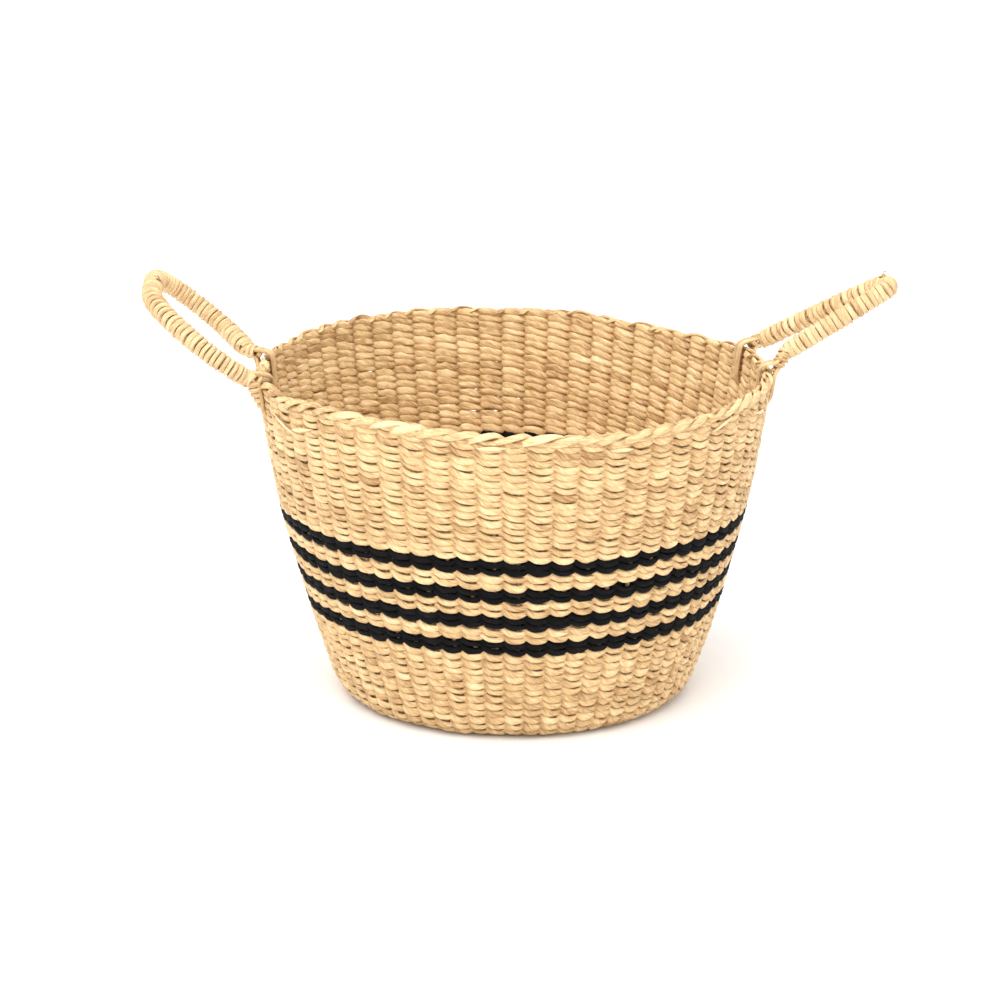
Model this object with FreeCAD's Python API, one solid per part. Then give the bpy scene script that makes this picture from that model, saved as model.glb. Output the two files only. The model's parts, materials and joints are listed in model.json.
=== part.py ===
"""Woven market basket with two wrapped rope handles.

The basket is twined from leaf strands round upright stakes. Each woven zone, the rim border, the stakes
and every piece of the two handles is its own solid. Millimetres, +Z up; the origin is the centre of the
flat base, where the basket stands. Strand loops go round the rim and through the wall under it, and each
handle turns where its rope leaves two of these loops, just outside the rim.
"""
import FreeCAD, Part
import os
from math import atan, atan2, cos, degrees, hypot, radians, sin, sqrt

from FreeCAD import Vector

# ---- driving dimensions -------------------------------------------------------------------------
HEIGHT = 234.0            # base to the top of the rim border
WALL = 7.0                # thickness of the woven wall and base
FOOT_R = 122.7            # the wall's outer radius if it ran straight down to the floor
FLARE = 0.383             # how fast the wall widens at the floor
FLARE_LOSS = 0.00059      # how much of that flare is lost per mm of height
HEEL_R = 20.0             # outer radius of the rounded heel
HEEL_TOP = 20.0           # height where the heel band ends

BASE_START_R = 24.0       # woven start at the middle of the base
BASE_RING_R = 62.0        # where the extra stakes are added

STRIPE_CENTRES = (136.0, 115.5, 95.5, 75.5)   # black stripes, top to bottom
STRIPE_HALF = 4.8         # half the height of a stripe of two twined rows
SHOULDER_Z = 196.0        # bottom of the band that the handle loops pass through
BORDER_Z = 226.0          # bottom of the folded border
BORDER_EXTRA = 0.8        # how far the border stands proud of the wall on each face

STAKE_COUNT = 64
STAKE_R = 1.5
STAKE_TOP = 229.0         # the stakes end inside the border
STAKE_START_R = 30.0      # inner end of the stakes that start at the middle
STAKE_TURN = 3.9          # degrees that the ring of stakes is turned, so that every loop passes between two

LOOP_TUBE_R = 2.6         # bundle of core strands that goes round the rim
LOOP_GAP = 0.6            # clearance between a loop and the wall or border
LOOP_DROP = 17.0          # between the centres of a loop's two half rounds
CORE_R = 4.5              # rope core of a handle, and its rounded ends
WRAP_R = 7.0              # outside of the leaf wrapping
WRAP_END_R = 5.5          # the wrapping tapers towards its ends
WRAP_START = 4.0          # wrapping starts this far from the hinge axis
WRAP_TAPER = 6.0          # length of the taper
KNOT_R = 2.6              # end knot of the leaf strip

STAKES_SPANNED = 4        # a handle's two loops stand this many stakes apart
HALF_SPREAD = 36.5        # half the distance between a handle's two rope ends

# Where a handle's hinge axis is, how it leans at rest, and the three arcs of its centreline.
# azimuth and roll of the hinge axis, its distance from the Z axis and height, tilt above level at rest,
# reach from the hinge, radius of the side arcs, radius of the tip arcs, half length of the straight tip
HANDLES = {
    "handle_left": {"azimuth": 182.9, "roll": -1.0, "out": 185.3, "height": 236.4, "tilt": 40.8,
                    "reach": 84.7, "side_r": 67.0, "tip_r": 30.0, "tip_half": 17.2},
    "handle_right": {"azimuth": 10.5, "roll": -7.8, "out": 186.2, "height": 239.2, "tilt": 25.4,
                     "reach": 92.0, "side_r": 900.0, "tip_r": 16.0, "tip_half": 0.5},
}

Z_AXIS = Vector(0, 0, 1)
STAKE_PITCH = 360.0 / STAKE_COUNT


def wall_radius(z):
    """Outer radius of the wall at height z, above the heel."""
    return FOOT_R + FLARE * z - FLARE_LOSS * z * z


def edge(points):
    """One smooth edge through two or three points."""
    if len(points) == 2:
        return Part.LineSegment(*points).toShape()
    return Part.Arc(*points).toShape()


def ring(outline):
    """Turn a closed outline, a list of edges' points in the XZ plane, once round the Z axis."""
    wire = Part.Wire([edge(points) for points in outline])
    solid = Part.Face(wire).revolve(Vector(0, 0, 0), Z_AXIS, 360)
    return solid if solid.isValid() else Part.makeSolid(Part.Shell(solid.Faces))


def wall_arc(low, high, inset):
    """Three points of the wall's face between two heights, moved in from the outer face."""
    heights = (low, (low + high) / 2, high)
    return [Vector(wall_radius(z) - inset, 0, z) for z in heights]


def wall_band(low, high, proud=0.0):
    """A zone of the wall between two heights."""
    outer = wall_arc(low, high, -proud)
    inner = wall_arc(low, high, WALL + proud)[::-1]
    return ring([outer, [outer[-1], inner[0]], inner, [inner[-1], outer[0]]])


def wall_lean():
    """Angle of the wall from upright where it meets the heel."""
    return atan(FLARE - 2 * FLARE_LOSS * HEEL_TOP)


def heel_centre():
    """Centre of the heel's arcs, so that the outer one meets the wall smoothly."""
    meeting_z = HEEL_R * (1 - sin(wall_lean()))
    return Vector(wall_radius(meeting_z) - HEEL_R * cos(wall_lean()), 0, HEEL_R)


def heel_arc(radius):
    """Three points of the heel, from the floor up to the wall, at one radius about its centre."""
    end = -degrees(wall_lean())
    turns = [radians(angle) for angle in (-90, (end - 90) / 2, end)]
    return [heel_centre() + Vector(radius * cos(turn), 0, radius * sin(turn)) for turn in turns]


def heel_band():
    """The rounded corner between base and wall, up to a level top."""
    outer = heel_arc(HEEL_R)
    inner = heel_arc(HEEL_R - WALL)[::-1]
    top = [Vector(wall_radius(HEEL_TOP), 0, HEEL_TOP), Vector(wall_radius(HEEL_TOP) - WALL, 0, HEEL_TOP)]
    return ring([outer, [outer[-1], top[0]], top, [top[1], inner[0]], inner, [inner[-1], outer[0]]])


def base_ring(inner_r, outer_r):
    """A flat zone of the base."""
    if inner_r == 0:
        return Part.makeCylinder(outer_r, WALL)
    return Part.makeCylinder(outer_r, WALL).cut(Part.makeCylinder(inner_r, WALL))


BORDER_HALF = WALL / 2 + BORDER_EXTRA          # half the border's thickness
CROWN_Z = HEIGHT - BORDER_HALF                 # where its half-round top begins
LOOP_R = BORDER_HALF + LOOP_GAP + LOOP_TUBE_R  # centreline radius of a loop's half rounds


def crown_radius():
    """Radius of the ring that the border's half-round top is drawn about."""
    return wall_radius(BORDER_Z) - WALL / 2


def rim_border():
    """The folded border: straight sides and a half-round top."""
    outer, inner = crown_radius() + BORDER_HALF, crown_radius() - BORDER_HALF
    corners = [Vector(inner, 0, BORDER_Z), Vector(outer, 0, BORDER_Z), Vector(outer, 0, CROWN_Z),
               Vector(inner, 0, CROWN_Z)]
    crown = [corners[2], Vector(crown_radius(), 0, HEIGHT), corners[3]]
    return ring([corners[0:2], corners[1:3], crown, [corners[3], corners[0]]])


def smooth_arc(start, inward, end):
    """Middle and end points of the arc that leaves start at right angles to inward and reaches end."""
    chord = end - start
    radius = chord.Length ** 2 / (2 * chord.dot(inward))
    centre = start + inward * radius
    middle = centre + ((start + end) * 0.5 - centre).normalize() * radius
    return [start, middle, end]


def stake(start_r):
    """One stake: along the base, round the heel and up the wall, in the middle of its thickness."""
    depth = WALL / 2
    heel = heel_arc(HEEL_R - depth)
    lean = wall_lean()
    top = Vector(wall_radius(STAKE_TOP) - depth, 0, STAKE_TOP)
    wall = smooth_arc(heel[-1], Vector(-cos(lean), 0, sin(lean)), top)
    start = Vector(start_r, 0, depth)
    path = Part.Wire([edge([start, heel[0]]), edge(heel), edge(wall)])
    section = Part.Wire(Part.makeCircle(STAKE_R, start, Vector(1, 0, 0)))
    return path.makePipeShell([section], True, True)


def stakes(start_r, first):
    """Every second stake round the basket, beginning with stake number first."""
    pattern = stake(start_r)
    solids = []
    for number in range(first, STAKE_COUNT, 2):
        copy = pattern.copy()
        copy.rotate(Vector(0, 0, 0), Z_AXIS, STAKE_TURN + STAKE_PITCH * (number + 0.5))
        solids.append(copy)
    return Part.makeCompound(solids)


# ---- loops --------------------------------------------------------------------------------------
def half_round(height, tube_r, turn):
    """Half of a ring about the Y direction, at one height in the XZ plane."""
    section = Part.Face(Part.Wire(Part.makeCircle(tube_r, Vector(LOOP_R, 0, height), Z_AXIS)))
    return section.revolve(Vector(0, 0, height), Vector(0, 1, 0), turn)


def hang(shape, azimuth):
    """Lean a shape drawn about the border's crown along the wall, and move it there."""
    middle = CROWN_Z - LOOP_DROP / 2
    lean = atan(FLARE - 2 * FLARE_LOSS * middle)
    shape.rotate(Vector(0, 0, 0), Vector(0, 1, 0), degrees(lean))
    shape.translate(Vector(crown_radius(), 0, CROWN_Z))
    shape.rotate(Vector(0, 0, 0), Z_AXIS, azimuth)
    return shape


def loop(azimuth):
    """Strands that go over the border, down both faces of the wall and through it."""
    shape = half_round(0, LOOP_TUBE_R, -180).fuse(half_round(-LOOP_DROP, LOOP_TUBE_R, 180))
    for side in (-1, 1):
        foot = Vector(side * LOOP_R, 0, -LOOP_DROP)
        shape = shape.fuse(Part.makeCylinder(LOOP_TUBE_R, LOOP_DROP, foot))
    return hang(shape, azimuth)


def passage(azimuth):
    """The way through the wall that a loop's lower half round needs."""
    return hang(half_round(-LOOP_DROP, LOOP_TUBE_R + LOOP_GAP, 180), azimuth)


def loop_azimuths(name):
    """Azimuths of a handle's front and back loops, each midway between two stakes."""
    middle = STAKE_TURN + STAKE_PITCH * round((HANDLES[name]["azimuth"] - STAKE_TURN) / STAKE_PITCH)
    spread = STAKE_PITCH * STAKES_SPANNED / 2
    return sorted((middle - spread, middle + spread), key=lambda azimuth: sin(radians(azimuth)))


def shoulder_band():
    """The wall under the border, with a passage for each loop."""
    band = wall_band(SHOULDER_Z, BORDER_Z)
    for name in HANDLES:
        for azimuth in loop_azimuths(name):
            band = band.cut(passage(azimuth))
    return band


# ---- handles ------------------------------------------------------------------------------------
# A handle is drawn lying flat: X points away from the basket, Y runs along the hinge axis, and the
# hinge axis is the Y axis itself. place() then tilts it and moves it outside the rim.

def place(shape, name):
    """Tilt a piece of a handle and move it outside the rim."""
    handle = HANDLES[name]
    shape.rotate(Vector(0, 0, 0), Vector(0, 1, 0), -handle["tilt"])
    shape.rotate(Vector(0, 0, 0), Vector(1, 0, 0), handle["roll"])
    shape.translate(Vector(handle["out"], 0, handle["height"]))
    shape.rotate(Vector(0, 0, 0), Z_AXIS, handle["azimuth"])
    return shape


def side_centre(handle):
    """Centre of the arc of the leg on the -Y side, which meets the tip arc smoothly."""
    start_y = -HALF_SPREAD
    tip_x, tip_y = handle["reach"] - handle["tip_r"], -handle["tip_half"]
    chord = hypot(tip_x, tip_y - start_y)
    big, small = handle["side_r"], handle["side_r"] - handle["tip_r"]
    along = (big ** 2 - small ** 2 + chord ** 2) / (2 * chord)
    across = sqrt(big ** 2 - along ** 2)
    x_unit, y_unit = tip_x / chord, (tip_y - start_y) / chord
    return Vector(x_unit * along - y_unit * across, start_y + y_unit * along + x_unit * across, 0)


def leg_arc(handle, start):
    """Three points of a leg's arc, from a distance along it to where the tip arc takes over."""
    centre = side_centre(handle)
    tip_centre = Vector(handle["reach"] - handle["tip_r"], -handle["tip_half"], 0)
    first = atan2(-HALF_SPREAD - centre.y, -centre.x) + start / handle["side_r"]
    last = atan2(tip_centre.y - centre.y, tip_centre.x - centre.x)
    return [centre + Vector(cos(turn), sin(turn), 0) * handle["side_r"]
            for turn in (first, (first + last) / 2, last)]


def tip_arc(handle):
    """Three points of the arc from a leg to the straight tip."""
    centre = Vector(handle["reach"] - handle["tip_r"], -handle["tip_half"], 0)
    first = leg_arc(handle, 0)[-1] - centre
    turn = atan2(first.y, first.x)
    return [centre + Vector(cos(angle), sin(angle), 0) * handle["tip_r"] for angle in (turn, turn / 2, 0)]


def mirrored(points):
    """The same points on the other leg, in the other order."""
    return [Vector(point.x, -point.y, point.z) for point in reversed(points)]


def rope(handle, start, radius):
    """A round rope along the handle's centreline, from one leg round to the other."""
    leg, tip = leg_arc(handle, start), tip_arc(handle)
    line = [tip[-1], mirrored(tip)[0]]
    path = Part.Wire([edge(part) for part in (leg, tip, line, mirrored(tip), mirrored(leg))])
    section = Part.Wire(Part.makeCircle(radius, leg[0], leg_direction(handle, start)))
    return path.makePipeShell([section], True, True)


def leg_direction(handle, start):
    """Direction of the -Y leg at a distance along it."""
    outward = leg_arc(handle, start)[0] - side_centre(handle)
    return Vector(-outward.y, outward.x, 0).normalize()


def handle_core(name):
    """The rope core with a rounded end at each loop."""
    core = rope(HANDLES[name], 0, CORE_R)
    for side in (-1, 1):
        core = core.fuse(Part.makeSphere(CORE_R, Vector(0, side * HALF_SPREAD, 0)))
    return place(core, name)


def knot_centre(handle):
    """Centre of the end knot, half sunk in the wrapping at the top of the tip."""
    return Vector(handle["reach"], 0, WRAP_R)


def handle_wrap(name):
    """The leaf wrapping round the core, with tapered ends and a seat for the end knot."""
    handle = HANDLES[name]
    full = WRAP_START + WRAP_TAPER
    outer = rope(handle, full, WRAP_R)
    for side in (-1, 1):
        point, direction = leg_arc(handle, full)[0], leg_direction(handle, full)
        point, direction = Vector(point.x, -side * point.y, 0), Vector(direction.x, -side * direction.y, 0)
        outer = outer.fuse(Part.makeCone(WRAP_R, WRAP_END_R, WRAP_TAPER, point, direction * -1))
    wrap = outer.cut(rope(handle, 0, CORE_R)).cut(Part.makeSphere(KNOT_R, knot_centre(handle)))
    return place(wrap, name)


def tip_knot(name):
    """The knot that ends the leaf strip."""
    return place(Part.makeSphere(KNOT_R, knot_centre(HANDLES[name])), name)


# ---- all nodes ----------------------------------------------------------------------------------
def wall_nodes():
    """The base, the wall's zones from the floor up, the border and the stakes."""
    nodes = {
        "base_start": base_ring(0, BASE_START_R),
        "base_inner_ring": base_ring(BASE_START_R, BASE_RING_R),
        "base_outer_ring": base_ring(BASE_RING_R, heel_centre().x),
        "heel_band": heel_band(),
    }
    stripes = [(z - STRIPE_HALF, z + STRIPE_HALF) for z in STRIPE_CENTRES]
    nodes["lower_wall_band"] = wall_band(HEEL_TOP, stripes[-1][0])
    for number, (low, high) in enumerate(stripes, 1):
        nodes[f"black_stripe_{number}"] = wall_band(low, high)
    for number in range(1, len(stripes)):
        nodes[f"natural_band_{number}"] = wall_band(stripes[number][1], stripes[number - 1][0])
    nodes["upper_wall_band"] = wall_band(stripes[0][1], SHOULDER_Z)
    nodes["shoulder_band"] = shoulder_band()
    nodes["rim_border"] = rim_border()
    nodes["stakes_main"] = stakes(STAKE_START_R, 0)
    nodes["stakes_added"] = stakes(BASE_RING_R, 1)
    return nodes


def handle_nodes():
    """The pieces of both handles, and the loops that hold them."""
    nodes = {}
    for name in HANDLES:
        nodes[f"{name}_core"] = handle_core(name)
        nodes[f"{name}_wrap"] = handle_wrap(name)
        front, back = loop_azimuths(name)
        nodes[f"{name}_loop_front"] = loop(front)
        nodes[f"{name}_loop_back"] = loop(back)
        nodes[f"{name}_tip_knot"] = tip_knot(name)
    return nodes


def export(nodes):
    os.makedirs("parts", exist_ok=True)
    for name, shape in nodes.items():
        assert shape.isValid() and shape.Volume > 0, name
        shape.exportStep(f"parts/{name}.step")
        box = shape.BoundBox
        print(f"{name:26s} solids {len(shape.Solids):3d}  volume {shape.Volume / 1000:8.2f} cm3  "
              f"z {box.ZMin:7.2f} .. {box.ZMax:7.2f}")


export({**wall_nodes(), **handle_nodes()})
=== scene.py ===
"""The look of the woven market basket: every twined row, stake, border fold and leaf turn as geometry."""
import json
from math import atan2, cos, pi, radians, sin

import bpy
import numpy as np
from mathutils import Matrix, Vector


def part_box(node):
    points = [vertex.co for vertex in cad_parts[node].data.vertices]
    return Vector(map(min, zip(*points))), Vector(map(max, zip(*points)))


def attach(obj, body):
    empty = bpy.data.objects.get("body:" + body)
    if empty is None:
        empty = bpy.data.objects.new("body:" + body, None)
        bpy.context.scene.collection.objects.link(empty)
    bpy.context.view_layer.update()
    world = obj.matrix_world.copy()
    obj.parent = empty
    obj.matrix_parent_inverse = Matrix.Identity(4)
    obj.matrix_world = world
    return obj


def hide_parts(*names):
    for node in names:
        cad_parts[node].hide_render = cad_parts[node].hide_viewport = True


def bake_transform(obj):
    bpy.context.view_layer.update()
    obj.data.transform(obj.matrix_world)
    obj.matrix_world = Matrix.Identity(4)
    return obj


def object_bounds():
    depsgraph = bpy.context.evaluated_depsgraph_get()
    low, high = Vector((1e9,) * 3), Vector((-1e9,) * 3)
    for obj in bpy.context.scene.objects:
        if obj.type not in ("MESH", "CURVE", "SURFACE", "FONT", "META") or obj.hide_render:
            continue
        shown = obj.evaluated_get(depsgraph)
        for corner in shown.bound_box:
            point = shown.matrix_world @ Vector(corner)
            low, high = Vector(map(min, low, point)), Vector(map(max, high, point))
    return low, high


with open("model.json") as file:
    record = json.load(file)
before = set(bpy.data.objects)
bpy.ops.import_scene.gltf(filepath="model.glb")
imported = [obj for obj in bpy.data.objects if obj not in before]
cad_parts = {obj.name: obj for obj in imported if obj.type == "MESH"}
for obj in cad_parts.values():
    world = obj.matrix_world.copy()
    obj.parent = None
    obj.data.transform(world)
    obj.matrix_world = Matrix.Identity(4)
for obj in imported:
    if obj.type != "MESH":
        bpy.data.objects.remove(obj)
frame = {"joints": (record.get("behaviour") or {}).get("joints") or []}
cad_low, cad_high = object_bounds()

MM = 0.001
STAKES = 64            # as many as in the solid part
PITCH = 2 * pi / STAKES


# ---- the wall's shape, read from the frame (millimetres) ------------------------------------------
def span(node):
    """Bottom, top and outer radius at the top of a round node."""
    low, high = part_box(node)
    return low.z / MM, high.z / MM, high.x / MM


WALL = span("base_start")[1]
FLOOR_R = span("base_outer_ring")[2]
HEEL_TOP = span("heel_band")[1]
TOP = span("rim_border")[1]
BORDER_LOW = span("rim_border")[0]
WALL_NODES = ["heel_band", "lower_wall_band", "black_stripe_4", "natural_band_3", "black_stripe_3",
              "natural_band_2", "black_stripe_2", "natural_band_1", "black_stripe_1", "upper_wall_band",
              "shoulder_band"]
wall_fit = np.polyfit([span(n)[1] for n in WALL_NODES], [span(n)[2] for n in WALL_NODES], 2)
LINE_SPARE = 12


def middle_line():
    """Points (radius, height) of the wall's middle, from the centre of the base to LINE_SPARE above the rim."""
    flat = [(r, WALL / 2) for r in np.arange(0, FLOOR_R, 0.5)]
    bend = HEEL_TOP - WALL / 2
    lean = np.arctan(np.polyval(np.polyder(wall_fit), HEEL_TOP))
    heel = [(FLOOR_R + bend * cos(a), HEEL_TOP + bend * sin(a)) for a in np.linspace(-pi / 2, -lean, 40)]
    z0 = heel[-1][1] + 1.0
    wall = [(np.polyval(wall_fit, z) - WALL / 2, z) for z in np.arange(z0, TOP + LINE_SPARE, 0.5)]
    return np.array(flat + heel + wall)


LINE = middle_line()
step = np.hypot(*np.diff(LINE, axis=0).T)
LINE_S = np.concatenate([[0], np.cumsum(step)])
slope = np.gradient(LINE, LINE_S, axis=0)
slope = np.stack([np.convolve(np.pad(c, 6, "edge"), np.ones(13) / 13, "valid") for c in slope.T], 1)
slope /= np.linalg.norm(slope, axis=1)[:, None]


def along_line(s):
    """Point, direction up the line and outward direction at distance s along the middle line."""
    point = np.stack([np.interp(s, LINE_S, LINE[:, k]) for k in (0, 1)], -1)
    up = np.stack([np.interp(s, LINE_S, slope[:, k]) for k in (0, 1)], -1)
    return point, up, np.stack([up[..., 1], -up[..., 0]], -1)


def s_at_height(z):
    """Distance along the middle line at a height on the wall."""
    wall = LINE[:, 1] > WALL
    return float(np.interp(z, LINE[wall, 1], LINE_S[wall]))


# ---- unevenness of hand work ----------------------------------------------------------------------
rng = np.random.default_rng(11)
# How far the rim stands above or below its even height, by azimuth in degrees, and the waves in the rows:
# each wave's count round the basket, its change with the way up, its phase and its size.
RIM_LIFT = {-5: 0.0, 14: -1.0, 29: -3.0, 45: -6.0, 62: -4.5, 80: -1.0, 100: 2.0, 125: 3.8, 148: 3.0, 165: 0.4,
            199: 0.4, 222: 3.6, 240: 4.6, 258: 2.0, 275: -1.5, 292: -3.4, 315: -2.0, 338: -0.4}
lift_at = np.array(sorted(RIM_LIFT))
lift_by = np.array([RIM_LIFT[a] for a in sorted(RIM_LIFT)])
WAVES = [(rng.integers(2, 15), rng.uniform(0.02, 0.07), rng.uniform(0, 2 * pi), rng.normal())
         for _ in range(26)]
WAVE_SLIP, WAVE_SWELL = 0.65, 0.35
LIFT_FROM = 130        # distance up the line where the rim's lift begins


def warp(theta, s):
    """How far the weave has slipped along the wall and outwards at an angle and a distance up the line."""
    turn = (np.degrees(theta) + 5) % 360 - 5
    at = np.concatenate([lift_at, [355]])
    lift = np.interp(turn, at, np.concatenate([lift_by, lift_by[:1]]))
    rise = np.clip((s - LIFT_FROM) / (LINE_S[-1] - (LIFT_FROM + LINE_SPARE)), 0, 1) ** 1.6
    slip = sum(a * np.sin(n * theta + k * s + p) for n, k, p, a in WAVES) / np.sqrt(len(WAVES))
    swell = sum(a * np.sin(n * theta - k * s + 2 * p) for n, k, p, a in WAVES) / np.sqrt(len(WAVES))
    fade = np.clip((s - 20) / 60, 0, 1)
    return lift * rise + WAVE_SLIP * fade * slip, WAVE_SWELL * fade * swell


def smooth_noise(count, knots, size, generator):
    """Values along a closed strand that wander smoothly, count of them from knots random ones."""
    values = generator.normal(0, size, knots)
    x = np.arange(count) / count * knots
    low = np.floor(x).astype(int)
    t = x - low
    t = t * t * (3 - 2 * t)
    return values[low % knots] * (1 - t) + values[(low + 1) % knots] * t


# ---- meshes ---------------------------------------------------------------------------------------
class Bundle:
    """Collects tubes and makes one mesh of them, with each strand's own coordinates and a value for its colour:
    its own tone, with painted shade added in places.
    """

    def __init__(self):
        self.points, self.faces, self.lay, self.tint, self.count = [], [], [], [], 0

    def tube(self, rings, lay, tint, closed):
        """Joins rings of points into a tube; an open one gets a cap at each end."""
        n, m = rings.shape[:2]
        index = self.count + np.arange(n * m).reshape(n, m)
        following = np.roll(index, -1, 0) if closed else index[1:]
        here = index if closed else index[:-1]
        quads = np.stack([here, np.roll(here, -1, 1), np.roll(following, -1, 1), following], -1)
        self.faces.append(quads.reshape(-1, 4))
        if not closed:
            k = np.arange(m // 2 - 1)
            for ring, flip in ((index[0], False), (index[-1], True)):
                cap = np.stack([ring[k], ring[m - 1 - k], ring[m - 2 - k], ring[k + 1]], -1)
                self.faces.append(cap[:, ::-1] if flip else cap)
        self.points.append(rings.reshape(-1, 3))
        self.lay.append(lay.reshape(-1, 3))
        self.tint.append(np.broadcast_to(tint, (n, m)).reshape(-1))
        self.count += n * m

    def piece(self, name, body, material, slot, *nodes):
        """One visible piece. body is None for a piece that is joined to no body."""
        mesh = bpy.data.meshes.new(name)
        mesh.from_pydata(np.concatenate(self.points) * MM, [], np.concatenate(self.faces))
        mesh.attributes.new("lay", "FLOAT_VECTOR", "POINT").data.foreach_set(
            "vector", np.concatenate(self.lay).astype(np.float32).ravel())
        mesh.attributes.new("tint", "FLOAT", "POINT").data.foreach_set(
            "value", np.concatenate(self.tint).astype(np.float32))
        mesh.polygons.foreach_set("use_smooth", np.ones(len(mesh.polygons), bool))
        mesh.materials.append(material)
        piece = bpy.data.objects.new(name, mesh)
        bpy.context.scene.collection.objects.link(piece)
        if body:
            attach(piece, body)
        if nodes:
            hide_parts(*nodes)
        return piece


def unit(v):
    """Vectors made one long."""
    return v / np.maximum(np.linalg.norm(v, axis=-1, keepdims=True), 1e-9)


RIDGE_TWIST = 0.12     # most turn of a strand's ridges, and turn of its grain, in radians per millimetre
GRAIN_TWIST = 0.16


def strand(bundle, path, face, width, thick, tint, generator, around=12, closed=False, roll=0.0, ridge=0.07):
    """A flattened strand along path. face is the way its flat side looks; width and thick are half sizes."""
    n = len(path)
    ahead = unit(np.roll(path, -1, 0) - np.roll(path, 1, 0)) if closed else unit(np.gradient(path, axis=0))
    side = unit(np.cross(face, ahead))
    face = unit(np.cross(ahead, side))
    roll = np.broadcast_to(roll, n)[:, None]
    side, face = side * np.cos(roll) + face * np.sin(roll), face * np.cos(roll) - side * np.sin(roll)
    length = np.concatenate([[0], np.cumsum(np.linalg.norm(np.diff(path, axis=0), axis=1))])
    v = np.arange(around) / around * 2 * pi
    a, b, c = generator.uniform(0, 2 * pi, 3)
    spin = length[:, None] * RIDGE_TWIST * generator.choice([-1, 1]) * generator.uniform(0.4, 1)
    bumps = 1 + ridge * (np.cos(3 * v + a + spin) + 0.8 * np.cos(4 * v + b - spin) + 0.5 * np.cos(5 * v + c))
    width = np.broadcast_to(width, n)[:, None] * np.cos(v) * bumps
    thick = np.broadcast_to(thick, n)[:, None] * np.sin(v) * bumps
    rings = path[:, None] + width[..., None] * side[:, None] + thick[..., None] * face[:, None]
    start = generator.uniform(0, 1000)
    grain = v - length[:, None] * GRAIN_TWIST
    lay = np.stack(np.broadcast_arrays((length + start)[:, None], np.cos(grain), np.sin(grain)), -1)
    bundle.tube(rings, lay, np.broadcast_to(tint, n)[:, None] + np.zeros(around), closed)


# ---- twined rows ----------------------------------------------------------------------------------
STAKE_TURN = radians(3.9)      # the first place between two stakes, as in the solid part
LOOP_TURN_UP = 3.2             # height of the strands' turn above the underside of a loop
loops = {}                     # each loop's azimuth, and the height at which it passes through the wall
for joint in frame["joints"]:
    for end in ("front", "back"):
        low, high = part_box(f"{joint['child']}_loop_{end}")
        middle = (low + high) / 2
        loops[joint["child"], end] = (atan2(middle.y, middle.x), low.z / MM + LOOP_TURN_UP)


def spread_for_loops(theta, s, r):
    """Rows part a little where a handle's loop passes through the wall."""
    push = np.zeros_like(theta)
    for azimuth, z in loops.values():
        away = s - s_at_height(z)
        sideways = (theta - azimuth + pi) % (2 * pi) - pi
        near = np.exp(-(sideways * r / 7.5) ** 2)
        push += near * np.sign(away + 1e-6) * 1.7 * np.exp(-np.abs(away) / 9.0)
    return push


# A strand's path through one full turn of its pair: the angle in degrees, how high it runs and how far out in
# millimetres. It comes to the outside high between two stakes, drops to the middle of its stitch, slips
# behind the next strand and runs higher on the inside, so that it covers the gap between two rows.
TWINE_AT = [-110, -90, -62, -35, 0, 30, 60, 80, 100, 130, 180, 225, 250]
TWINE_UP = [1.70, 1.60, 0.35, -0.80, -1.10, -1.05, -0.95, -0.90, -0.60, 0.40, 1.20, 1.05, 1.50]
TWINE_OUT = [0.25, 1.00, 1.80, 2.05, 2.10, 2.00, 1.25, 0.10, -1.20, -1.80, -2.10, -1.90, -0.70]


FULL_STITCH = 14.0             # stitches shorter than this are flatter, as near the middle of the base
ROW_SLIP, STITCH_SLIP = 0.26, 0.33
ROW_TINT, STRAND_TINT, STITCH_TINT = 0.025, 0.03, 0.06
THIN_CHANCE, THINNER = 0.30, -0.19
# A strand's half width as a share of the row's pitch: at a crossing, and what it gains outside and inside.
AT_CROSSING, GAIN_OUTSIDE, GAIN_INSIDE = 0.415, 0.075, 0.20


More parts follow.
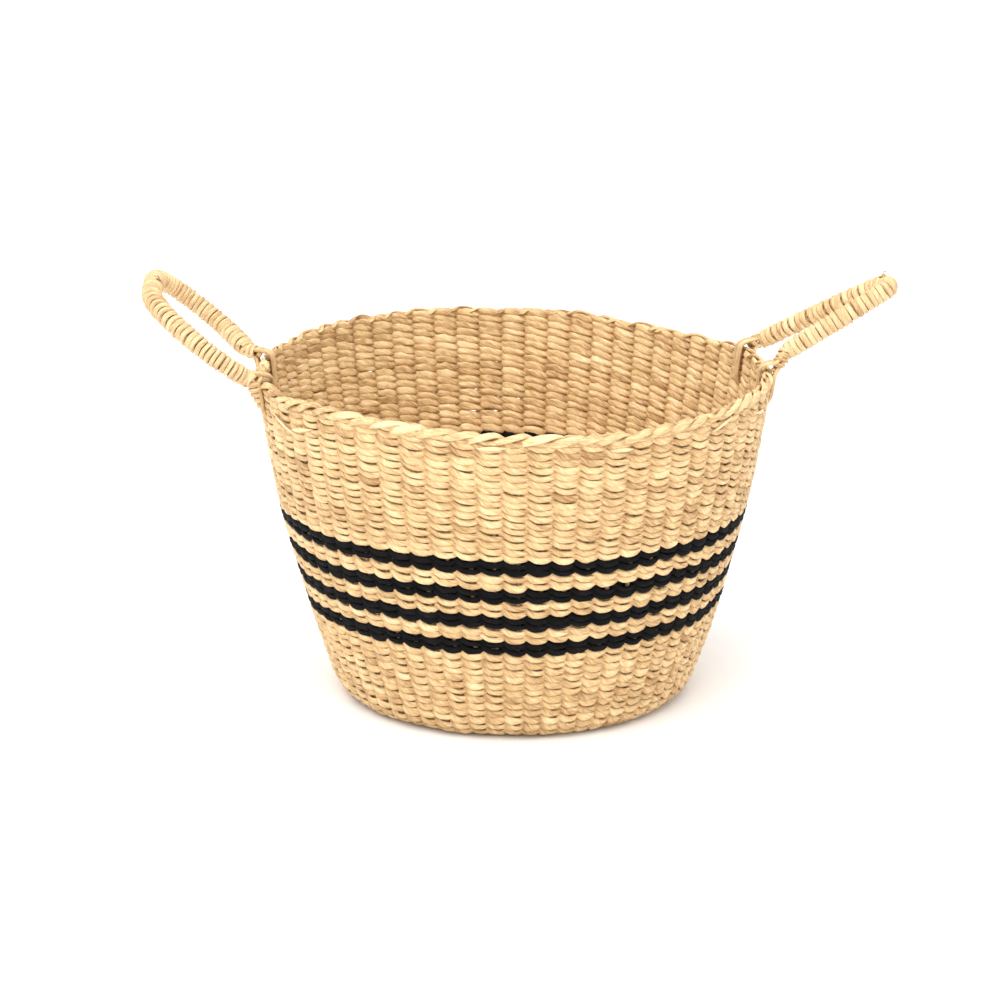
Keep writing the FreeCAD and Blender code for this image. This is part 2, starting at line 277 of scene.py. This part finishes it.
def twined_row(bundle, s, pitch, stakes, number, detail=10):
    """One row: two strands that go round the basket and cross between every two stakes."""
    generator = np.random.default_rng(1000 + number)
    n = stakes * detail
    theta = STAKE_TURN + np.arange(n) / n * 2 * pi
    stake_phase = (theta - STAKE_TURN) * stakes / 2 - pi / 2
    point, _, _ = along_line(s)
    stitch_size = 2 * pi * point[0] / stakes
    reach = min(1.0, stitch_size / FULL_STITCH)
    row_slip = smooth_noise(n, max(6, stakes // 3), ROW_SLIP, generator)
    row_tint = generator.normal(0, ROW_TINT)
    for j in (0, 1):
        phase = stake_phase + j * pi + 0.30
        # which stitch a point belongs to: even ones lie outside, odd ones inside
        stitch = np.floor(phase / pi + 0.5).astype(int) % stakes
        jitter = generator.normal(0, STITCH_SLIP, stakes)
        shade = generator.normal(0, STITCH_TINT, stakes)
        thin = np.where(generator.uniform(0, 1, stakes) < THIN_CHANCE, THINNER, 0.0)
        fullness = generator.normal(0, 0.05, stakes) + thin
        ease = np.ones(detail // 2) / (detail // 2)
        per_stitch = [np.convolve(np.concatenate([x[stitch], x[stitch][:len(ease) - 1]]), ease, "valid")
                      for x in (jitter, fullness)]
        c = np.cos(phase)
        out = np.interp(np.degrees(phase), TWINE_AT, TWINE_OUT, period=360) * (0.75 + 0.25 * reach)
        up = reach * np.interp(np.degrees(phase), TWINE_AT, TWINE_UP, period=360)
        slip, swell = warp(theta, s + 0 * theta)
        across = s + up + slip + row_slip + per_stitch[0]
        across = across + spread_for_loops(theta, across, point[0])
        base, _, outward = along_line(across)
        where = base + outward * (out + swell)[:, None]
        path = np.stack([where[:, 0] * np.cos(theta), where[:, 0] * np.sin(theta), where[:, 1]], -1)
        face = np.stack([outward[:, 0] * np.cos(theta), outward[:, 0] * np.sin(theta), outward[:, 1]], -1)
        size = generator.normal(1, 0.04)
        outside = np.clip(c, 0, 1)
        share = AT_CROSSING + np.where(c > 0, GAIN_OUTSIDE, GAIN_INSIDE) * np.abs(c) ** 0.6
        wander = smooth_noise(n, stakes, 0.05, generator)
        width = pitch * share * (size + per_stitch[1] * outside ** 0.5 + wander)
        thick = (1.45 + 0.1 * smooth_noise(n, stakes, 1.0, generator)) * (0.8 + 0.2 * reach)
        roll = 0.30 * np.sin(phase) + smooth_noise(n, stakes, 0.14, generator)
        tint = 0.5 + row_tint + generator.normal(0, STRAND_TINT) + shade[stitch] * np.abs(c)
        # painted shade: darker where the strand crosses between two stakes and sinks into the weave; a little
        # random tone on top
        tint = tint - 0.16 * (1 - np.abs(c)) ** 2 + smooth_noise(n, stakes, 0.05, generator)
        strand(bundle, path, face, width, thick, tint, generator, closed=True, roll=roll, ridge=0.10)


def rows_between(low, high, count):
    """The middles of count rows that fill a stretch of the line, and their pitch."""
    pitch = (high - low) / count
    return [low + pitch * (k + 0.5) for k in range(count)], pitch


# ---- materials ------------------------------------------------------------------------------------
STREAKS, BLOTCHES = 1.5, 0.7   # weight of the fine streaks and of the wide blotches in a strand's colour


def node(tree, kind, **inputs):
    made = tree.nodes.new(kind)
    for key, value in inputs.items():
        made.inputs[key.replace("_", " ")].default_value = value
    return made


def straw(name, dark, mid, pale, fleck, fleck_from, roughness, bump):
    """Leaf or grass: colour from each strand's own tone with its painted shade, and lengthwise streaks, with
    scattered marks.
    """
    material = bpy.data.materials.new(name)
    material.use_nodes = True
    tree = material.node_tree
    link = tree.links.new
    shader = tree.nodes["Principled BSDF"]
    lay = node(tree, "ShaderNodeAttribute")
    lay.attribute_name = "lay"
    tint = node(tree, "ShaderNodeAttribute")
    tint.attribute_name = "tint"
    stretch = tree.nodes.new("ShaderNodeMapping")
    stretch.inputs["Scale"].default_value = (0.10, 4.6, 4.6)
    link(lay.outputs["Vector"], stretch.inputs["Vector"])
    fibres = node(tree, "ShaderNodeTexNoise", Scale=1.0, Detail=5.0, Roughness=0.62)
    link(stretch.outputs["Vector"], fibres.inputs["Vector"])
    blotch_map = tree.nodes.new("ShaderNodeMapping")
    blotch_map.inputs["Scale"].default_value = (0.16, 0.8, 0.8)
    link(lay.outputs["Vector"], blotch_map.inputs["Vector"])
    blotch = node(tree, "ShaderNodeTexNoise", Scale=1.0, Detail=3.0)
    link(blotch_map.outputs["Vector"], blotch.inputs["Vector"])

    mix = tree.nodes.new("ShaderNodeMath")
    mix.operation = "MULTIPLY_ADD"
    link(fibres.outputs["Fac"], mix.inputs[0])
    mix.inputs[1].default_value = STREAKS
    link(tint.outputs["Fac"], mix.inputs[2])
    both = tree.nodes.new("ShaderNodeMath")
    both.operation = "MULTIPLY_ADD"
    link(blotch.outputs["Fac"], both.inputs[0])
    both.inputs[1].default_value = BLOTCHES
    link(mix.outputs[0], both.inputs[2])
    centre = tree.nodes.new("ShaderNodeMath")
    centre.operation = "SUBTRACT"
    link(both.outputs[0], centre.inputs[0])
    centre.inputs[1].default_value = (STREAKS + BLOTCHES) / 2
    ramp = tree.nodes.new("ShaderNodeValToRGB")
    ramp.color_ramp.elements[0].position = 0.12
    ramp.color_ramp.elements[0].color = (*dark, 1)
    ramp.color_ramp.elements[1].position = 0.88
    ramp.color_ramp.elements[1].color = (*pale, 1)
    ramp.color_ramp.elements.new(0.5).color = (*mid, 1)
    link(centre.outputs[0], ramp.inputs["Fac"])

    mark_map = tree.nodes.new("ShaderNodeMapping")
    mark_map.inputs["Scale"].default_value = (0.33, 1.3, 1.3)
    link(lay.outputs["Vector"], mark_map.inputs["Vector"])
    marks = node(tree, "ShaderNodeTexNoise", Scale=1.0, Detail=4.0, Roughness=0.7)
    link(mark_map.outputs["Vector"], marks.inputs["Vector"])
    threshold = tree.nodes.new("ShaderNodeMapRange")
    threshold.inputs["From Min"].default_value = fleck_from
    threshold.inputs["From Max"].default_value = fleck_from + 0.10
    link(marks.outputs["Fac"], threshold.inputs["Value"])
    colour = tree.nodes.new("ShaderNodeMix")
    colour.data_type = "RGBA"
    link(threshold.outputs["Result"], colour.inputs["Factor"])
    link(ramp.outputs["Color"], colour.inputs["A"])
    colour.inputs["B"].default_value = (*fleck, 1)
    link(colour.outputs["Result"], shader.inputs["Base Color"])

    shader.inputs["Roughness"].default_value = roughness
    shader.inputs["Specular IOR Level"].default_value = 0.35
    relief = node(tree, "ShaderNodeBump", Strength=bump, Distance=0.0006)
    link(fibres.outputs["Fac"], relief.inputs["Height"])
    link(relief.outputs["Normal"], shader.inputs["Normal"])
    return material


STRAW = straw("straw", (0.36, 0.19, 0.07), (0.72, 0.485, 0.235), (0.92, 0.72, 0.42), (0.30, 0.16, 0.06), 0.66,
              0.55, 0.9)
BLACK = straw("black_leaf", (0.001, 0.001, 0.001), (0.003, 0.0025, 0.003), (0.012, 0.010, 0.011),
              (0.50, 0.38, 0.26), 0.70, 0.75, 0.9)
STEM = straw("stem", (0.15, 0.08, 0.035), (0.27, 0.17, 0.085), (0.40, 0.28, 0.15), (0.12, 0.07, 0.03), 0.62,
             0.6, 0.7)
WRAP = straw("leaf_wrap", (0.44, 0.25, 0.10), (0.72, 0.50, 0.26), (0.88, 0.69, 0.42), (0.30, 0.17, 0.07), 0.67,
             0.5, 0.9)
ROPE = straw("rope_core", (0.36, 0.20, 0.08), (0.66, 0.44, 0.21), (0.84, 0.63, 0.36), (0.20, 0.11, 0.05), 0.66,
             0.5, 0.9)
BLACK.node_tree.nodes["Principled BSDF"].inputs["Specular IOR Level"].default_value = 0.12

# ---- base and wall --------------------------------------------------------------------------------
MOST_BASE_ROWS, MOST_WALL_ROWS = 5, 8      # a node with more rows than this becomes two pieces
ROWS = {
    "heel_band": 4, "lower_wall_band": 9, "black_stripe_4": 2, "natural_band_3": 2, "black_stripe_3": 2,
    "natural_band_2": 2, "black_stripe_2": 2, "natural_band_1": 2, "black_stripe_1": 2, "upper_wall_band": 11,
    "shoulder_band": 6}


def weave(name, places, pitch, stakes, number, split, black=False, detail=10):
    """One node's rows, in one piece or two. Returns the number of the row that comes next."""
    half = len(places) // 2
    for part, group in enumerate([places[:half], places[half:]] if split else [places]):
        bundle = Bundle()
        for s in group:
            twined_row(bundle, s, pitch, stakes, number, detail)
            number += 1
        label = f"{name}_weave_{part + 1}" if split else f"{name}_weave"
        bundle.piece(label, "basket", BLACK if black else STRAW,
                     "black_straw" if black else "natural_straw", name)
    return number


def base_rows():
    start_r, inner_r, ring_r = (span(n)[2] for n in ("base_start", "base_inner_ring", "base_outer_ring"))
    number = 0
    for name, low, high, count, stakes in (
            ("base_start", 3.0, start_r, 4, 16),
            ("base_inner_ring", start_r, inner_r, 7, 32),
            ("base_outer_ring", inner_r, ring_r, 9, STAKES)):
        places, pitch = rows_between(low, high, count)
        number = weave(name, places, pitch, stakes, number, count > MOST_BASE_ROWS, detail=8)


def wall_rows():
    number = 100
    for name in WALL_NODES:
        low, high, _ = span(name)
        low_s = FLOOR_R if name == "heel_band" else s_at_height(low)
        places, pitch = rows_between(low_s, s_at_height(high), ROWS[name])
        number = weave(name, places, pitch, STAKES, number, len(places) > MOST_WALL_ROWS,
                       name.startswith("black"))


def on_wall(theta, s, out):
    """Points and outward directions on the warped wall."""
    slip, swell = warp(theta, s)
    base, _, outward = along_line(s + slip)
    where = base + outward * (np.asarray(out) + swell)[..., None]
    point = np.stack([where[..., 0] * np.cos(theta), where[..., 0] * np.sin(theta), where[..., 1]], -1)
    face = np.stack([outward[..., 0] * np.cos(theta), outward[..., 0] * np.sin(theta), outward[..., 1]], -1)
    return point, face


def stake_angle(number):
    """The azimuth of a stake."""
    return STAKE_TURN + PITCH * (number + 0.5)


def stakes():
    """The upright stakes, up to where each one folds over into the border."""
    top = s_at_height(BORDER_LOW + 1.5)
    for name, first, start in (("stakes_main", 0, 8.0), ("stakes_added", 1, span("base_inner_ring")[2] - 3)):
        bundle = Bundle()
        generator = np.random.default_rng(40 + first)
        for number in range(first, STAKES, 2):
            # every second main stake starts farther out, where there is room for it
            begin = start if first or number % 4 == 0 else 26.0
            s = np.linspace(begin, top, 70)
            theta = stake_angle(number) + np.zeros_like(s)
            path, face = on_wall(theta, s, np.zeros_like(s))
            strand(bundle, path, face, 1.6, 1.25, 0.5 + generator.normal(0, 0.15), generator, around=8)
        bundle.piece(f"{name}_stems", "basket", STEM, "stake_grass", name)


# Ends of leaf worked in on the outside: azimuth in degrees, height from the border, length and rise.
LEAF_ENDS = [(203, -9.0, 34, -9.0), (212, -15.0, 26, 4.0), (318, -6.5, 22, 5.0), (338, -9.0, 18, -3.0),
             (262, -3.4, 20, 1.5), (291, -4.2, 16, -1.0)]
LEAF_ENDS_R = 175      # radius at which their lengths are measured


def border():
    """Each stake's end is folded along the rim, outside the next stake, and tucked to the inside."""
    bundle = Bundle()
    generator = np.random.default_rng(77)
    s0 = s_at_height(BORDER_LOW)
    twined_row(bundle, s0 + 1.7, 4.4, STAKES, 900)
    for number in range(STAKES):
        t = np.linspace(0, 1, 26)
        reach = generator.normal(1.75, 0.2)
        theta = stake_angle(number) + PITCH * (reach * t ** 1.1 - 0.15)
        out = np.interp(t, [0, 0.2, 0.45, 0.7, 0.88, 1], [0.3, 2.4, 3.2, 1.8, -1.9, -2.8])
        rise = np.interp(t, [0, 0.2, 0.45, 0.7, 0.88, 1], [-1.5, 0.9, 3.4, 5.6, 5.0, 1.6])
        smooth = np.ones(7) / 7
        out = np.convolve(np.pad(out, 3, "edge"), smooth, "valid")
        rise = np.convolve(np.pad(rise, 3, "edge"), smooth, "valid") + generator.normal(0, 0.45)
        path, face = on_wall(theta, s0 + rise, out)
        ends = np.clip(np.minimum(t, 1 - t) / 0.06, 0.35, 1)
        width = generator.normal(2.35, 0.3) * ends * (1 + 0.08 * np.sin(9 * t + number))
        roll = np.interp(t, [0, 0.4, 0.75, 1], [0.1, 0.3, 1.2, 2.2]) + generator.normal(0, 0.16)
        # painted shade: each fold darker towards both ends, where it comes up from under and tucks inside,
        # lighter along the middle; its own tone varies at random besides
        tint = 0.38 + generator.normal(0, 0.09) + 0.16 * np.sin(pi * t)
        strand(bundle, path, face, width, 1.05 * ends, tint, generator, roll=-roll, ridge=0.16)
    for turn, height, length, lean in LEAF_ENDS:
        t = np.linspace(0, 1, 16)
        theta = radians(turn) + length * t / LEAF_ENDS_R
        path, face = on_wall(theta, s0 + height + lean * t + 0.6 * np.sin(3 * t), 4.3 - 1.9 * (2 * t - 1) ** 4)
        width = 1.7 * np.clip(np.sin(pi * (0.08 + 0.87 * t)), 0.2, 1)
        strand(bundle, path, face, width, 0.45, 0.78, generator, roll=0.2, ridge=0.05)
    bundle.piece("rim_border_folds", "basket", STRAW, "natural_straw", "rim_border")


# ---- handles --------------------------------------------------------------------------------------
# The centreline's arcs: radius of the side arcs, radius of the tip arcs and half length of the straight tip.
# HALF_SPREAD is half the distance between the rope's two ends, and WRAP_R is the outer radius of the wrapping.
# They are the same as in the solid part.
ARCS = {"handle_left": (67.0, 30.0, 17.2), "handle_right": (900.0, 16.0, 0.5)}
HALF_SPREAD = 36.5
WRAP_R = 7.0
LOOPS_R = 178          # radius of the wall near the loops


class Handle:
    """A handle's size and place, worked out from its joint and its knot's box."""

    def __init__(self, name):
        self.name = name
        joint = next(j for j in frame["joints"] if j["child"] == name)
        self.centre = Vector(joint["pos_m"]) / MM
        self.y = -Vector(joint["axis"]).normalized()
        low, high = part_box(f"{name}_tip_knot")
        out = (low + high) / 2 / MM - self.centre
        self.reach = (out.length_squared - WRAP_R ** 2) ** 0.5
        level = Vector((self.centre.x, self.centre.y, 0)).normalized()
        rise = level.cross(self.y)
        tilt = atan2(out.dot(rise), out.dot(level)) - atan2(WRAP_R, self.reach)
        self.x = level * cos(tilt) + rise * sin(tilt)
        self.z = rise * cos(tilt) - level * sin(tilt)
        self.axes = np.array([self.x, self.y, self.z])

    def place(self, points):
        """From the flat drawing of the handle to the rim."""
        return np.asarray(points) @ self.axes + np.array(self.centre)

    def turn(self, vectors):
        """Directions, from the flat drawing to the rim."""
        return np.asarray(vectors) @ self.axes

    def line(self, start, spacing=0.5):
        """Centreline points in the flat drawing, from start along one leg round to the other leg."""
        side_r, tip_r, flat = ARCS[self.name]
        a = np.array([0.0, -HALF_SPREAD])
        b = np.array([self.reach - tip_r, -flat])
        chord = np.linalg.norm(b - a)
        along = (side_r ** 2 - (side_r - tip_r) ** 2 + chord ** 2) / (2 * chord)
        across = (side_r ** 2 - along ** 2) ** 0.5
        ahead = (b - a) / chord
        c = a + ahead * along + np.array([-ahead[1], ahead[0]]) * across
        first, last = atan2(*(a - c)[::-1]), atan2(*(b - c)[::-1])
        leg = [c + side_r * np.array([cos(t), sin(t)])
               for t in np.linspace(first + start / side_r, last, 160)]
        tip = [b + tip_r * np.array([cos(t), sin(t)]) for t in np.linspace(last, 0, 60)]
        near = np.array(leg + tip[1:])
        points = np.concatenate([near, near[::-1] * [1, -1]])
        s = np.concatenate([[0], np.cumsum(np.hypot(*np.diff(points, axis=0).T))])
        even = np.arange(0, s[-1], spacing)
        x, y = (np.interp(even, s, points[:, k]) for k in (0, 1))
        return np.stack([x, y, 0 * even], -1), even


def coil(bundle, line, up, pitch, slant, radius, half_thick, tint, generator, per_turn=24):
    """A strip wound round a line: radius is a function of the distance along it."""
    s = np.concatenate([[0], np.cumsum(np.linalg.norm(np.diff(line, axis=0), axis=1))])
    total = s[-1]
    turns = total / pitch
    knots = np.arange(int(turns) + 2)
    u = np.linspace(0, turns, int(turns * per_turn))
    wobble = np.interp(u, knots, generator.normal(0, 0.07 * pitch, len(knots)))
    uneven = np.interp(u, knots, generator.normal(0, 1, len(knots)))
    psi = u * 2 * pi
    at = np.clip(u * pitch + wobble + slant * np.cos(psi), 0, total)
    centre = np.stack([np.interp(at, s, line[:, k]) for k in range(3)], -1)
    ahead = unit(np.stack([np.interp(at, s, np.gradient(line[:, k], s)) for k in range(3)], -1))
    side = unit(np.cross(up, ahead))
    over = unit(np.cross(ahead, side))
    out = side * np.cos(psi)[:, None] + over * np.sin(psi)[:, None]
    path = centre + out * (radius(at, total) + 0.12 * uneven)[:, None]
    shade = generator.normal(0, 0.09, len(knots))[np.floor(u).astype(int)]
    width = pitch * (0.44 + 0.02 * uneven)
    strand(bundle, path, out, width, half_thick, tint + shade, generator, around=16, roll=0.20, ridge=0.12)


def leaf_wrap(handle, pitch, slant, seed):
    """A leaf strip wound round the core: one long helix of bulging, slanted turns."""
    generator = np.random.default_rng(seed)
    line, _ = handle.line(0.8)
    bundle = Bundle()

    def radius(at, total):
        return 4.3 + 1.15 * np.clip((np.minimum(at, total - at) + 2) / 9.0, 0, 1) ** 0.7

    coil(bundle, handle.place(line), handle.turn([0, 0, 1.0]), pitch, slant, radius, 1.5, 0.5, generator)
    return bundle.piece(f"{handle.name}_leaf_wrap", handle.name, WRAP, "leaf_wrap", f"{handle.name}_wrap")


def core_strands(handle, seed):
    """The strands inside the wrapping, laid like a rope."""
    generator = np.random.default_rng(seed)
    line, s = handle.line(3.0, 1.0)
    ahead = unit(np.gradient(line, axis=0))
    side = np.cross([0, 0, 1.0], ahead)
    bundle = Bundle()
    for k in range(3):
        turn = 2 * pi * k / 3 + s * 0.12
        out = side * np.cos(turn)[:, None] + np.array([0, 0, 1.0]) * np.sin(turn)[:, None]
        strand(bundle, handle.place(line + 2.0 * out), handle.turn(out), 2.2, 1.9, 0.5, generator, around=8)
    return bundle.piece(f"{handle.name}_core_strands", handle.name, ROPE, "rope_strands", f"{handle.name}_core")


def smooth_path(points, count=90):
    """A smooth curve through the points, evenly spaced."""
    p = np.concatenate([[2 * points[0] - points[1]], points, [2 * points[-1] - points[-2]]])
    t = np.linspace(0, 1, 16, endpoint=False)[:, None]
    pieces = [0.5 * (2 * b + (c - a) * t + (2 * a - 5 * b + 4 * c - d) * t ** 2
                     + (3 * b - a - 3 * c + d) * t ** 3)
              for a, b, c, d in zip(p, p[1:], p[2:], p[3:])]
    curve = np.concatenate(pieces + [points[-1:]])
    s = np.concatenate([[0], np.cumsum(np.linalg.norm(np.diff(curve, axis=0), axis=1))])
    even = np.linspace(0, s[-1], count)
    return np.stack([np.interp(even, s, curve[:, k]) for k in range(3)], -1)


def loop_strands(handle, end, wrapped, seed):
    """Core strands from the wrapping over the rim, down and through the wall and back, with their binding.

    Both are joined to neither body. Heights are in millimetres from the floor.
    """
    generator = np.random.default_rng(seed)
    azimuth, low = loops[handle.name, end]
    leg_side = np.sign(np.dot(np.array([-np.sin(azimuth), np.cos(azimuth), 0]), np.array(handle.y)))
    side = np.sign((azimuth - atan2(handle.centre.y, handle.centre.x) + pi) % (2 * pi) - pi) * leg_side

    def leg(x, y, z):
        line, at = handle.line(0.0)
        k = int(np.searchsorted(at, x))
        return handle.place([line[k, 0], -side * line[k, 1] + y, z])

    def on_side(height, out, spread):
        point, _ = on_wall(np.array([azimuth + spread / LOOPS_R]), np.array([s_at_height(height)]), out)
        return point[0]

    bundle = Bundle()
    count = 5
    for k in range(count):
        y = (k - (count - 1) / 2) * 1.55
        stray = generator.normal(0, 0.35, 8)
        points = np.array([
            leg(13, 0.6 * y, -2.4), leg(6, 0.8 * y, -2.7), leg(1, y, -2.9),
            on_side(233.5, 7.2, y), on_side(227.5, 5.3 + 0.3 * stray[0], 1.15 * y),
            on_side(219, 4.9 + 0.3 * stray[1], y + stray[2]), on_side(low + 6.0, 4.6, 0.7 * y),
            on_side(low + 1.2, 2.6, 0.45 * y), on_side(low, 0, 0.35 * y), on_side(low + 1.2, -2.6, 0.45 * y),
            on_side(low + 6.0, -4.6, 0.7 * y), on_side(219, -4.9 - 0.3 * stray[3], y + stray[4]),
            on_side(228.5, -5.4, 1.2 * y), on_side(234.6, -4.4, 1.2 * y), on_side(237.4, 0.4, 1.1 * y),
            on_side(238.8, 5.6, y), leg(1, 0.9 * y, 2.7), leg(6, 0.8 * y, 2.6), leg(13, 0.6 * y, 2.4)])
        path = smooth_path(points)
        centre = path.mean(0)
        face = unit(path - centre)
        t = np.linspace(0, 1, len(path))
        tint = 0.55 + generator.normal(0, 0.07) + 0.1 * np.sin(9 * t + k)
        strand(bundle, path, face, generator.normal(1.45, 0.12), 1.0, tint, generator, around=10, ridge=0.14)
    piece = bundle.piece(f"{handle.name}_loop_{end}_strands", None, ROPE, "rope_strands",
                         f"{handle.name}_loop_{end}")
    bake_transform(piece)

    # the leaf strip goes on towards the rim, and round the outer strands of one loop
    binding = Bundle()
    neck = smooth_path(np.array([leg(3, 0, 0), leg(0, 0, 0), on_side(236.8, 6.6, 0),
                                 on_side(235.4, 3.4, 0)]), 40)
    along = np.array([-np.sin(azimuth), np.cos(azimuth), 0.0])
    coil(binding, neck, along, 3.9, 0.9, lambda at, total: 4.4 - 1.1 * at / total, 1.3, 0.45, generator)
    if wrapped:
        outer = smooth_path(np.array([leg(2, 0, -1), on_side(235, 9.0, 0), on_side(229, 7.6, 0),
                                      on_side(222, 6.4, 0), on_side(low + 10, 5.0, 0)]), 60)
        coil(binding, outer, along, 4.0, 1.4, lambda at, total: 4.6 - 2.4 * (at / total) ** 1.5, 1.3, 0.5,
             generator)
    tie = binding.piece(f"{handle.name}_binding_{end}", None, WRAP, "leaf_wrap")
    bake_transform(tie)


def end_knot(handle, seed):
    """The small knot that ends the leaf strip, with a short tail."""
    generator = np.random.default_rng(seed)
    bundle = Bundle()
    a = np.linspace(0, 2 * pi, 80, endpoint=False)
    x, y, z = np.sin(a) + 2 * np.sin(2 * a), np.cos(a) - 2 * np.cos(2 * a), -np.sin(3 * a)
    path = np.stack([x, y, z * 1.1], -1) * 0.72 + np.array([handle.reach, 0, WRAP_R])
    strand(bundle, handle.place(path), handle.turn(np.tile([0, 0, 1.0], (80, 1))), 0.75, 0.6, 0.35, generator,
           closed=True, around=8)
    t = np.linspace(0, 1, 14)
    tail = np.stack([handle.reach + 1.0 + 3.5 * t, 1 + 3.0 * t, WRAP_R + 0.8 + 1.6 * np.sin(pi * t)], -1)
    strand(bundle, handle.place(tail), handle.turn(np.tile([0, 0, 1.0], (14, 1))), 0.7 * (1 - 0.6 * t), 0.35,
           0.4, generator, around=8)
    return bundle.piece(f"{handle.name}_knot", handle.name, ROPE, "leaf_wrap", f"{handle.name}_tip_knot")


def build_handles():
    for seed, (name, pitch, slant) in enumerate((("handle_left", 4.0, 2.6), ("handle_right", 4.6, 3.0))):
        handle = Handle(name)
        leaf_wrap(handle, pitch, slant, 300 + seed)
        core_strands(handle, 310 + seed)
        for k, end in enumerate(("front", "back")):
            loop_strands(handle, end, name == "handle_left" and end == "front", 320 + 2 * seed + k)
        end_knot(handle, 340 + seed)


base_rows()
wall_rows()
stakes()
border()
build_handles()

# ---- floor, light and camera ----------------------------------------------------------------------
bpy.ops.mesh.primitive_plane_add(size=30, location=(0, 0, cad_low.z))
floor = bpy.context.object
floor.name = "floor"
white = bpy.data.materials.new("floor_white")
white.use_nodes = True
white.node_tree.nodes["Principled BSDF"].inputs["Base Color"].default_value = (0.93, 0.93, 0.93, 1)
white.node_tree.nodes["Principled BSDF"].inputs["Roughness"].default_value = 0.9
floor.data.materials.append(white)

world = bpy.data.worlds.new("studio")
bpy.context.scene.world = world
world.use_nodes = True
world.node_tree.nodes["Background"].inputs["Color"].default_value = (1, 1, 1, 1)
world.node_tree.nodes["Background"].inputs["Strength"].default_value = 1.12


def soft_light(name, size, power, location, aim):
    """A square area light that looks at a point."""
    data = bpy.data.lights.new(name, "AREA")
    data.size = size
    data.energy = power
    light = bpy.data.objects.new(name, data)
    bpy.context.scene.collection.objects.link(light)
    light.location = location
    light.rotation_euler = (Vector(aim) - Vector(location)).to_track_quat("-Z", "Y").to_euler()


soft_light("key", 3.4, 88, (-0.5, -1.1, 2.5), (0, 0, 0.1))
soft_light("fill", 2.0, 7, (1.6, -2.0, 1.6), (0, 0, 0.1))

camera = bpy.data.objects.new("camera", bpy.data.cameras.new("camera"))
bpy.context.scene.collection.objects.link(camera)
camera.data.sensor_width = 36
camera.data.lens = 132.3
camera.location = (0, -2.4845, 0.8662)
aim_at = Vector((-0.0098, 0.0100, 0.1325))
camera.rotation_euler = (aim_at - camera.location).to_track_quat("-Z", "Y").to_euler()
bpy.context.scene.camera = camera
bpy.context.scene.view_settings.view_transform = "Standard"
